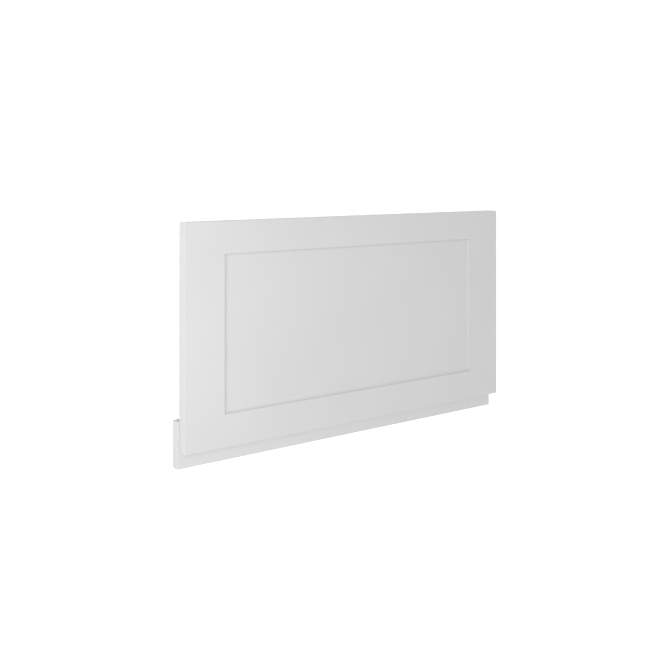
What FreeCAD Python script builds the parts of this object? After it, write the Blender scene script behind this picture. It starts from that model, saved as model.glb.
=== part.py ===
import FreeCAD, Part
import math
import os
from FreeCAD import Vector

# Bath end panel: one routed board, with a plinth board screwed across the back of its lower edge.
# It lies on its back. X runs along its length, Y from the plinth up to the bath rim, Z out of its face.
# The origin is the middle of the box around both boards, at the plinth's back.

# Panel board
panel_length = 800.0
panel_height = 422.0
panel_thickness = 22.0
panel_face_round = 0.8
panel_back_round = 0.8

# Recess routed into the panel's face: its sides run down through a rounded rim and a straight lip into a cove
stile_width = 83.0
rail_width = 61.5
recess_rim_round = 0.4
recess_lip = 0.1
recess_cove_radius = 8.0

# Plinth board
plinth_length = 802.0
plinth_height = 88.0
plinth_thickness = 18.0
plinth_edge_round = 1.0
plinth_drop = 31.5
plinth_overhang = 4.0

# Countersunk screws through the plinth into the panel's back
screw_count = 4
screw_end_distance = 70.0
screw_shank_diameter = 4.0
screw_clearance = 0.5
countersink_diameter = 9.0
countersink_angle = 90.0
pilot_diameter = 2.8
pilot_depth = 13.0

# Places, measured from the panel's lower left corner and then centred on the box around both boards
box_left = min(0.0, -plinth_overhang)
box_right = max(panel_length, plinth_length - plinth_overhang)
box_bottom = min(0.0, -plinth_drop)
box_top = max(panel_height, plinth_height - plinth_drop)
panel_left = -(box_left + box_right) / 2
panel_bottom = -(box_bottom + box_top) / 2
panel_back = plinth_thickness
panel_face = panel_back + panel_thickness
recess_depth = recess_rim_round + recess_lip + recess_cove_radius
plinth_left = panel_left - plinth_overhang
plinth_bottom = panel_bottom - plinth_drop
lap_height = plinth_height - plinth_drop
screw_row = panel_bottom + lap_height / 2

ALONG_LENGTH = Vector(1, 0, 0)
ALONG_HEIGHT = Vector(0, 1, 0)
OUT_OF_FACE = Vector(0, 0, 1)

# Two places, or two directions, that differ by less than this are the same
TOLERANCE = 1e-4


def edges_at_level(shape, z):
    """The edges that lie in the level plane at height z."""
    return [edge for edge in shape.Edges if all(abs(v.Z - z) < TOLERANCE for v in edge.Vertexes)]


def edges_along(edges, axis):
    """Those of the straight edges that run along the axis."""
    return [edge for edge in edges if edge.tangentAt(edge.FirstParameter).cross(axis).Length < TOLERANCE]


def screw_places():
    """X of each screw: the outer two stand in from the plinth's ends, the rest lie evenly between them."""
    first = plinth_left + screw_end_distance
    last = plinth_left + plinth_length - screw_end_distance
    pitch = (last - first) / (screw_count - 1)
    return [first + pitch * number for number in range(screw_count)]


def recess_cutter():
    """The pocket that is routed out: a cove runs along each side, and the coves meet in mitred corners."""
    corner = Vector(panel_left + stile_width, panel_bottom + rail_width, panel_face - recess_depth)
    length = panel_length - 2 * stile_width
    height = panel_height - 2 * rail_width
    block = Part.makeBox(length, height, recess_depth, corner)
    floor_edges = edges_at_level(block, corner.z)
    coved_at_rails = block.makeFillet(recess_cove_radius, edges_along(floor_edges, ALONG_LENGTH))
    coved_at_stiles = block.makeFillet(recess_cove_radius, edges_along(floor_edges, ALONG_HEIGHT))
    return coved_at_rails.common(coved_at_stiles)


def make_panel():
    corner = Vector(panel_left, panel_bottom, panel_back)
    board = Part.makeBox(panel_length, panel_height, panel_thickness, corner)
    board = board.makeFillet(panel_face_round, edges_along(board.Edges, OUT_OF_FACE))
    board = board.makeFillet(panel_face_round, edges_at_level(board, panel_face))
    board = board.makeFillet(panel_back_round, edges_at_level(board, panel_back))
    pocket = recess_cutter()
    board = board.cut(pocket)
    face_edges = edges_at_level(board, panel_face)
    recess_rim = [edge for edge in face_edges if pocket.isInside(edge.CenterOfMass, TOLERANCE, True)]
    board = board.makeFillet(recess_rim_round, recess_rim)
    for x in screw_places():
        mouth = Vector(x, screw_row, panel_back)
        board = board.cut(Part.makeCylinder(pilot_diameter / 2, pilot_depth, mouth, OUT_OF_FACE))
    return board


def screw_hole(x):
    """A clearance hole through the plinth, countersunk from its back."""
    mouth = Vector(x, screw_row, 0)
    radius = (screw_shank_diameter + screw_clearance) / 2
    countersink_depth = (countersink_diameter / 2 - radius) / math.tan(math.radians(countersink_angle / 2))
    shank = Part.makeCylinder(radius, plinth_thickness, mouth, OUT_OF_FACE)
    countersink = Part.makeCone(countersink_diameter / 2, radius, countersink_depth, mouth, OUT_OF_FACE)
    return shank.fuse(countersink)


def make_plinth():
    corner = Vector(plinth_left, plinth_bottom, 0)
    board = Part.makeBox(plinth_length, plinth_height, plinth_thickness, corner)
    board = board.makeFillet(plinth_edge_round, board.Edges)
    for x in screw_places():
        board = board.cut(screw_hole(x))
    return board


os.makedirs("parts", exist_ok=True)
for node, shape in (("panel", make_panel()), ("plinth", make_plinth())):
    shape.exportStep(f"parts/{node}.step")
    print(node, "valid", shape.isValid(), "solids", len(shape.Solids), "volume", round(shape.Volume))
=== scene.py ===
import math

import bmesh
import bpy
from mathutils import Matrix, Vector


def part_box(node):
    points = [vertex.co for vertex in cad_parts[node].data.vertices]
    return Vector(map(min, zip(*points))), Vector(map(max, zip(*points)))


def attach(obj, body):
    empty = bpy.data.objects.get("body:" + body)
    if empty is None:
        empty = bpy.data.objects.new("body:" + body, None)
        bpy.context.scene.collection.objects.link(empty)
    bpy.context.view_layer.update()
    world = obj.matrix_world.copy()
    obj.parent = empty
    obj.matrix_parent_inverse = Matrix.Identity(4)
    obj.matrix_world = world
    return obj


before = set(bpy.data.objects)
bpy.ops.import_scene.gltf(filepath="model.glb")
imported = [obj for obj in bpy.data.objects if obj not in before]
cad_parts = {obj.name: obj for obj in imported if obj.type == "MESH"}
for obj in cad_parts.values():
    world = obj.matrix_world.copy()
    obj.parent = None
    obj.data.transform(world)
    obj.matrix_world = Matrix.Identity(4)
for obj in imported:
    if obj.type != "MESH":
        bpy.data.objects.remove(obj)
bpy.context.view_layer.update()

# Boards, from the frame, in metres. X runs along the panel, Y from its plinth to its upper edge and Z out
# of its face.
panel_low, panel_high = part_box("panel")
plinth_low, plinth_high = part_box("plinth")
panel_corner = Vector((panel_low.x, panel_low.y, panel_high.z))
panel_centre = (panel_low + panel_high) / 2

# Photograph's camera: square to the panel's height, a little above its upper edge, turned along its length,
# with the lens dropped. Its place is from the lower left corner of the panel's face. Lens and sensor are in
# millimetres.
CAMERA_FROM_CORNER = Vector((-0.7647, 0.5195, 1.5106))
CAMERA_TURN = math.radians(35.946)
CAMERA_LENS = 50.0
CAMERA_SENSOR = 36.0
CAMERA_SHIFT = -0.2464

# Light: an even sky, a softbox off each end of the panel, the brighter one at its left, and a strip past its
# foot that is too low to reach the face. Places and aims are from the panel's centre, sizes are width and
# height.
SKY_STRENGTH = 0.57
KEY_PLACE = Vector((-1.0, 0.06, 0.88))
KEY_AIM = Vector((-0.25, 0.0, 0.0))
KEY_SIZE = (0.8, 0.8)
KEY_POWER = 7.3
FILL_PLACE = Vector((1.05, 0.0, 1.1))
FILL_AIM = Vector((0.2, 0.0, 0.0))
FILL_SIZE = (2.6, 0.9)
FILL_POWER = 3.2
FOOT_PLACE = Vector((0.0, -1.2, -0.036))
FOOT_AIM = Vector((0.0, -0.2, -0.012))
FOOT_SIZE = (1.2, 0.086)
FOOT_POWER = 4.0

# Background: a floor, and how far it is lifted to white where it is seen
WHITE = (1.0, 1.0, 1.0, 1.0)
FLOOR_SIZE = 60.0
FLOOR_COLOUR = (0.85, 0.85, 0.85, 1.0)
FLOOR_LIFT = 0.54

# Paint: satin on the faces, more open on cut edges, rubbed on arrises, and a dull primer on the backs
PAINT_LIGHT = (0.728, 0.728, 0.728, 1.0)
PAINT_DARK = (0.712, 0.712, 0.711, 1.0)
PAINT_RUBBED = (0.69, 0.68, 0.66, 1.0)
PRIMER_LIGHT = (0.66, 0.655, 0.64, 1.0)
PRIMER_DARK = (0.58, 0.57, 0.55, 1.0)
RUBBED_SHARE = 0.4
SATIN_ROUGHNESS = (0.38, 0.48)
EDGE_ROUGHNESS = 0.54
RUBBED_ROUGHNESS = 0.32
PRIMER_ROUGHNESS = (0.62, 0.78)
PEEL_DEPTH = 0.00004
PEEL_STRENGTH = 0.3
FIBRE_DEPTH = 0.00004
FIBRE_STRENGTH = (0.02, 0.3)

# Masks of the paint: the normal's Z, from the start of a back or an edge to where it is whole, and how well
# the normal agrees with a rounded one, from the start of an arris to its middle
WHOLE_MASK = (0.0, 1.0)
BACK_FACING = (-0.4, -0.8)
EDGE_FACING = (0.75, 0.25)
ARRIS_AGREEMENT = (0.995, 0.85)
ARRIS_RADIUS = 0.0015
ARRIS_SAMPLES = 4

# Zinc plate on the screws
ZINC_LIGHT = (0.66, 0.66, 0.64, 1.0)
ZINC_DARK = (0.50, 0.51, 0.52, 1.0)
ZINC_ROUGHNESS = (0.42, 0.28)
PIT_DEPTH = 0.00002
PIT_STRENGTH = 0.2

# Noises of both materials, each as its scale and detail
CLOUD_NOISE = (7.0, 3.0)
MOTTLE_NOISE = (55.0, 4.0)
PATCH_NOISE = (90.0, 3.0)
FLECK_NOISE = (420.0, 4.0)
PEEL_NOISE = (620.0, 1.5)
FIBRE_NOISE = (2100.0, 3.0)
GRAIN_NOISE = (1400.0, 3.0)
PIT_NOISE = (5000.0, 2.0)

# Values of a noise between which a colour, a gloss or a mask changes
NOISE_REACH = (0.3, 0.7)
PATCH_REACH = (0.4, 0.65)
FLECK_REACH = (0.42, 0.6)
GRAIN_REACH = (0.35, 0.65)

# Countersunk screws, 4 mm by 30 mm, in the holes of the solids. Each has its own turn, in radians.
SCREW_END_DISTANCE = 0.070
SCREW_TURNS = (0.2, 1.1, 0.6, 1.4)
SCREW_SIDES = 24
SCREW_SHARP_ANGLE = math.radians(35)
SCREW_LENGTH = 0.030
HEAD_SUNK = 0.00006
HEAD_RADIUS = 0.0042
HEAD_CHAMFER = 0.0001
HEAD_LAND = 0.0002
NECK_RADIUS = 0.0020
CORE_RADIUS = 0.0015
THREAD_HEIGHT = 0.0007
THREAD_PITCH = 0.0018
THREAD_START = 0.010
THREAD_STEPS = 8
TIP_LENGTH = 0.004
TIP_RADIUS = 0.0002
CROSS_REACH = 0.0023
CROSS_HALF_WIDTH = 0.0005
CROSS_DEPTH = 0.0016
CROSS_TAPER = 0.55

# Half the width of the thread's ridge, in pitches
RIDGE_HALF_WIDTH = 0.3


def add_object(name, data):
    thing = bpy.data.objects.new(name, data)
    bpy.context.scene.collection.objects.link(thing)
    return thing


def empty_tree(owner):
    """The node tree of a material or a world, without nodes."""
    owner.use_nodes = True
    owner.node_tree.nodes.clear()
    return owner.node_tree


def new_surface(name):
    """A material, its node tree, and the shader on its surface."""
    material = bpy.data.materials.new(name)
    tree = empty_tree(material)
    output = tree.nodes.new("ShaderNodeOutputMaterial")
    shader = tree.nodes.new("ShaderNodeBsdfPrincipled")
    tree.links.new(shader.outputs["BSDF"], output.inputs["Surface"])
    return material, tree, shader


def noise(tree, place, kind):
    texture = tree.nodes.new("ShaderNodeTexNoise")
    for name, value in zip(("Scale", "Detail"), kind):
        texture.inputs[name].default_value = value
    tree.links.new(place, texture.inputs["Vector"])
    return texture.outputs["Fac"]


def spread(tree, source, reach, result=WHOLE_MASK):
    """Maps the source, over its reach, onto the result, and holds it at both ends."""
    mapped = tree.nodes.new("ShaderNodeMapRange")
    for name, value in zip(("From Min", "From Max", "To Min", "To Max"), (*reach, *result)):
        mapped.inputs[name].default_value = value
    tree.links.new(source, mapped.inputs["Value"])
    return mapped.outputs["Result"]


def calculate(tree, operation, *sources):
    result = tree.nodes.new("ShaderNodeMath")
    result.operation = operation
    for source, socket in zip(sources, result.inputs):
        tree.links.new(source, socket)
    return result.outputs["Value"]


def mix(tree, factor, first, second, kind):
    """Goes from first to second with the factor; each of the two is a value or another node's output."""
    mixer = tree.nodes.new("ShaderNodeMix")
    mixer.data_type = kind
    sockets = [socket for socket in mixer.inputs if socket.enabled]
    tree.links.new(factor, sockets[0])
    for socket, value in zip(sockets[1:], (first, second)):
        if isinstance(value, bpy.types.NodeSocket):
            tree.links.new(value, socket)
        else:
            socket.default_value = value
    return next(socket for socket in mixer.outputs if socket.enabled)


def bump(tree, height, depth, strength, below=None):
    """Relief of that depth, over the relief below it. The strength is a number or a mask."""
    relief = tree.nodes.new("ShaderNodeBump")
    relief.inputs["Distance"].default_value = depth
    tree.links.new(height, relief.inputs["Height"])
    if isinstance(strength, bpy.types.NodeSocket):
        tree.links.new(strength, relief.inputs["Strength"])
    else:
        relief.inputs["Strength"].default_value = strength
    if below is not None:
        tree.links.new(below, relief.inputs["Normal"])
    return relief.outputs["Normal"]


def arris_mask(tree):
    """1 where the surface bends sharply."""
    rounded = tree.nodes.new("ShaderNodeBevel")
    rounded.samples = ARRIS_SAMPLES
    rounded.inputs["Radius"].default_value = ARRIS_RADIUS
    geometry = tree.nodes.new("ShaderNodeNewGeometry")
    agree = tree.nodes.new("ShaderNodeVectorMath")
    agree.operation = "DOT_PRODUCT"
    tree.links.new(rounded.outputs["Normal"], agree.inputs[0])
    tree.links.new(geometry.outputs["Normal"], agree.inputs[1])
    return spread(tree, agree.outputs["Value"], ARRIS_AGREEMENT)


def new_paint():
    material, tree, shader = new_surface("white_paint")
    coordinates = tree.nodes.new("ShaderNodeTexCoord")
    place = coordinates.outputs["Object"]

    # Masks: backs, cut edges, and arrises that hands and cloths have rubbed
    facing = tree.nodes.new("ShaderNodeSeparateXYZ")
    tree.links.new(coordinates.outputs["Normal"], facing.inputs["Vector"])
    back = spread(tree, facing.outputs["Z"], BACK_FACING)
    edge = spread(tree, calculate(tree, "ABSOLUTE", facing.outputs["Z"]), EDGE_FACING)
    patches = spread(tree, noise(tree, place, PATCH_NOISE), PATCH_REACH)
    rubbed = calculate(tree, "MULTIPLY", arris_mask(tree), patches)

    # Colour
    cloud = spread(tree, noise(tree, place, CLOUD_NOISE), NOISE_REACH)
    clean = mix(tree, cloud, PAINT_DARK, PAINT_LIGHT, "RGBA")
    wear = spread(tree, rubbed, WHOLE_MASK, (0.0, RUBBED_SHARE))
    worn = mix(tree, wear, clean, PAINT_RUBBED, "RGBA")
    fleck = spread(tree, noise(tree, place, FLECK_NOISE), FLECK_REACH)
    primer = mix(tree, fleck, PRIMER_DARK, PRIMER_LIGHT, "RGBA")
    tree.links.new(mix(tree, back, worn, primer, "RGBA"), shader.inputs["Base Color"])

    # Gloss
    mottle = noise(tree, place, MOTTLE_NOISE)
    satin = spread(tree, mottle, NOISE_REACH, SATIN_ROUGHNESS)
    open_edge = mix(tree, edge, satin, EDGE_ROUGHNESS, "FLOAT")
    burnished = mix(tree, rubbed, open_edge, RUBBED_ROUGHNESS, "FLOAT")
    dull = spread(tree, mottle, NOISE_REACH, PRIMER_ROUGHNESS)
    tree.links.new(mix(tree, back, burnished, dull, "FLOAT"), shader.inputs["Roughness"])

    # Relief: the spray's orange peel everywhere, raised fibres where the board was cut or only primed
    peel = bump(tree, noise(tree, place, PEEL_NOISE), PEEL_DEPTH, PEEL_STRENGTH)
    bare = calculate(tree, "MAXIMUM", back, edge)
    fibre_strength = spread(tree, bare, WHOLE_MASK, FIBRE_STRENGTH)
    fibres = bump(tree, noise(tree, place, FIBRE_NOISE), FIBRE_DEPTH, fibre_strength, peel)
    tree.links.new(fibres, shader.inputs["Normal"])
    return material


def new_zinc():
    material, tree, shader = new_surface("zinc_plate")
    shader.inputs["Metallic"].default_value = 1.0
    place = tree.nodes.new("ShaderNodeTexCoord").outputs["Object"]
    grain = noise(tree, place, GRAIN_NOISE)
    tone = spread(tree, grain, GRAIN_REACH)
    tree.links.new(mix(tree, tone, ZINC_DARK, ZINC_LIGHT, "RGBA"), shader.inputs["Base Color"])
    tree.links.new(spread(tree, grain, NOISE_REACH, ZINC_ROUGHNESS), shader.inputs["Roughness"])
    pits = bump(tree, noise(tree, place, PIT_NOISE), PIT_DEPTH, PIT_STRENGTH)
    tree.links.new(pits, shader.inputs["Normal"])
    return material


def wire_background(tree, output, light, seen):
    """Gives the output the seen shader for rays that show the background, and the light for all others.
    Those rays come from the camera, off a glossy surface or through a clear one."""
    path = tree.nodes.new("ShaderNodeLightPath")
    direct = calculate(tree, "MAXIMUM", path.outputs["Is Camera Ray"], path.outputs["Is Glossy Ray"])
    shown = calculate(tree, "MAXIMUM", direct, path.outputs["Is Transmission Ray"])
    choose = tree.nodes.new("ShaderNodeMixShader")
    tree.links.new(shown, choose.inputs["Fac"])
    tree.links.new(light, choose.inputs[1])
    tree.links.new(seen, choose.inputs[2])
    tree.links.new(choose.outputs["Shader"], output.inputs["Surface"])


def new_floor_material():
    """White floor that takes the object's shadow; seen directly or in a reflection it is lifted to white."""
    material = bpy.data.materials.new("studio_floor")
    tree = empty_tree(material)
    output = tree.nodes.new("ShaderNodeOutputMaterial")
    diffuse = tree.nodes.new("ShaderNodeBsdfDiffuse")
    diffuse.inputs["Color"].default_value = FLOOR_COLOUR
    glow = tree.nodes.new("ShaderNodeEmission")
    glow.inputs["Strength"].default_value = FLOOR_LIFT
    lifted = tree.nodes.new("ShaderNodeAddShader")
    tree.links.new(diffuse.outputs["BSDF"], lifted.inputs[0])
    tree.links.new(glow.outputs["Emission"], lifted.inputs[1])
    wire_background(tree, output, diffuse.outputs["BSDF"], lifted.outputs["Shader"])
    return material


def make_floor():
    """The plane that the panel rests on, under the upper back edges of both boards."""
    rest_line = plinth_high.y
    rise = (panel_low.z - plinth_low.z) / (panel_high.y - rest_line)
    half = FLOOR_SIZE / 2
    square = ((-half, -half), (half, -half), (half, half), (-half, half))
    corners = [(x, y, plinth_low.z + (y - rest_line) * rise) for x, y in square]
    mesh = bpy.data.meshes.new("floor")
    mesh.from_pydata(corners, [], [(0, 1, 2, 3)])
    mesh.materials.append(new_floor_material())
    floor = add_object("floor", mesh)


def make_world():
    world = bpy.data.worlds.new("studio")
    bpy.context.scene.world = world
    tree = empty_tree(world)
    output = tree.nodes.new("ShaderNodeOutputWorld")
    sky = tree.nodes.new("ShaderNodeBackground")
    sky.inputs["Strength"].default_value = SKY_STRENGTH
    backdrop = tree.nodes.new("ShaderNodeBackground")
    for background in (sky, backdrop):
        background.inputs["Color"].default_value = WHITE
    wire_background(tree, output, sky.outputs["Background"], backdrop.outputs["Background"])


def make_lamp(name, place, aim, size, power):
    lamp = bpy.data.lights.new(name, "AREA")
    lamp.shape = "RECTANGLE"
    lamp.size, lamp.size_y = size
    lamp.energy = power
    holder = add_object(name, lamp)
    holder.location = panel_centre + place
    holder.rotation_euler = (aim - place).to_track_quat("-Z", "Y").to_euler()


def make_camera():
    data = bpy.data.cameras.new("camera")
    data.sensor_width = CAMERA_SENSOR
    data.lens = CAMERA_LENS
    data.shift_y = CAMERA_SHIFT
    camera = add_object("camera", data)
    camera.location = panel_corner + CAMERA_FROM_CORNER
    camera.rotation_euler = (0.0, -CAMERA_TURN, 0.0)
    bpy.context.scene.camera = camera


def on_circle(radius, turn):
    """The point at that share of a full turn."""
    angle = 2 * math.pi * turn
    return radius * math.cos(angle), radius * math.sin(angle)


def circle(radius):
    return [on_circle(radius, number / SCREW_SIDES) for number in range(SCREW_SIDES)]


def cross_outline(scale):
    """Outline of the driver's recess: four equal wings, each a quarter turn from the one before."""
    reach = CROSS_REACH * scale
    half = CROSS_HALF_WIDTH * scale
    wing = [(reach, -half), (reach, half), (half, half)]
    points = []
    for _ in range(4):
        points += wing
        wing = [(-y, x) for x, y in wing]
    return points


def thread_outline(depth):
    """The screw's section at that depth: its core, and the ridge where the helix passes."""
    tip_taper = min(1.0, (SCREW_LENGTH - depth) / TIP_LENGTH)
    start_taper = min(1.0, (depth - THREAD_START) / THREAD_PITCH)
    core = TIP_RADIUS + (CORE_RADIUS - TIP_RADIUS) * tip_taper
    height = THREAD_HEIGHT * min(start_taper, tip_taper)
    points = []
    for number in range(SCREW_SIDES):
        turn = number / SCREW_SIDES
        from_crest = abs((depth / THREAD_PITCH - turn) % 1.0 - 0.5)
        ridge = max(0.0, 1.0 - from_crest / RIDGE_HALF_WIDTH)
        points.append(on_circle(core + height * ridge, turn))
    return points


def screw_sections():
    """Outlines of the screw with their depths, from the top of its head to its tip."""
    rim = HEAD_SUNK + HEAD_CHAMFER
    land = rim + HEAD_LAND
    neck = land + HEAD_RADIUS - NECK_RADIUS
    sections = [
        (circle(HEAD_RADIUS - HEAD_CHAMFER), HEAD_SUNK),
        (circle(HEAD_RADIUS), rim),
        (circle(HEAD_RADIUS), land),
        (circle(NECK_RADIUS), neck),
        (circle(NECK_RADIUS), THREAD_START - THREAD_PITCH / 2),
    ]
    thread_length = SCREW_LENGTH - THREAD_START
    steps = round(thread_length / THREAD_PITCH * THREAD_STEPS)
    for step in range(steps + 1):
        depth = THREAD_START + thread_length * step / steps
        sections.append((thread_outline(depth), depth))
    return sections


def add_loop(bm, points, z):
    return [bm.verts.new((x, y, z)) for x, y in points]


def join(bm, first, second):
    """A band of faces between two loops of equal length."""
    for here in range(len(first)):
        after = (here + 1) % len(first)
        bm.faces.new((first[here], first[after], second[after], second[here]))


def screw_mesh(name):
    bm = bmesh.new()
    loops = [add_loop(bm, points, depth) for points, depth in screw_sections()]
    for first, second in zip(loops, loops[1:]):
        join(bm, first, second)
    bm.faces.new(loops[-1])

    # Top of the head, with the driver's recess in it
    mouth = add_loop(bm, cross_outline(1.0), HEAD_SUNK)
    bottom = add_loop(bm, cross_outline(CROSS_TAPER), HEAD_SUNK + CROSS_DEPTH)
    join(bm, mouth, bottom)
    bm.faces.new(bottom)
    borders = []
    for ring in (loops[0], mouth):
        for here, vert in enumerate(ring):
            after = ring[(here + 1) % len(ring)]
            borders.append(bm.edges.get((vert, after)))
    bmesh.ops.triangle_fill(bm, edges=borders, use_beauty=True)
    bmesh.ops.recalc_face_normals(bm, faces=bm.faces)

    mesh = bpy.data.meshes.new(name)
    bm.to_mesh(mesh)
    bm.free()
    mesh.shade_smooth()
    mesh.set_sharp_from_angle(angle=SCREW_SHARP_ANGLE)
    return mesh


def make_screws():
    """Screws in a row in the middle of the boards' lap, heads at the plinth's back."""
    zinc = new_zinc()
    first = plinth_low.x + SCREW_END_DISTANCE
    last = plinth_high.x - SCREW_END_DISTANCE
    row = (panel_low.y + plinth_high.y) / 2
    for number, turn in enumerate(SCREW_TURNS):
        name = f"screw_{number + 1}"
        mesh = screw_mesh(name)
        mesh.materials.append(zinc)
        screw = add_object(name, mesh)
        x = first + (last - first) * number / (len(SCREW_TURNS) - 1)
        screw.location = (x, row, plinth_low.z)
        screw.rotation_euler.z = turn
        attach(screw, "root")


paint = new_paint()
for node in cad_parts.values():
    node.data.materials.clear()
    node.data.materials.append(paint)
make_screws()

make_floor()
make_world()
make_lamp("key", KEY_PLACE, KEY_AIM, KEY_SIZE, KEY_POWER)
make_lamp("fill", FILL_PLACE, FILL_AIM, FILL_SIZE, FILL_POWER)
make_lamp("foot_strip", FOOT_PLACE, FOOT_AIM, FOOT_SIZE, FOOT_POWER)
make_camera()
bpy.context.scene.view_settings.view_transform = "Standard"
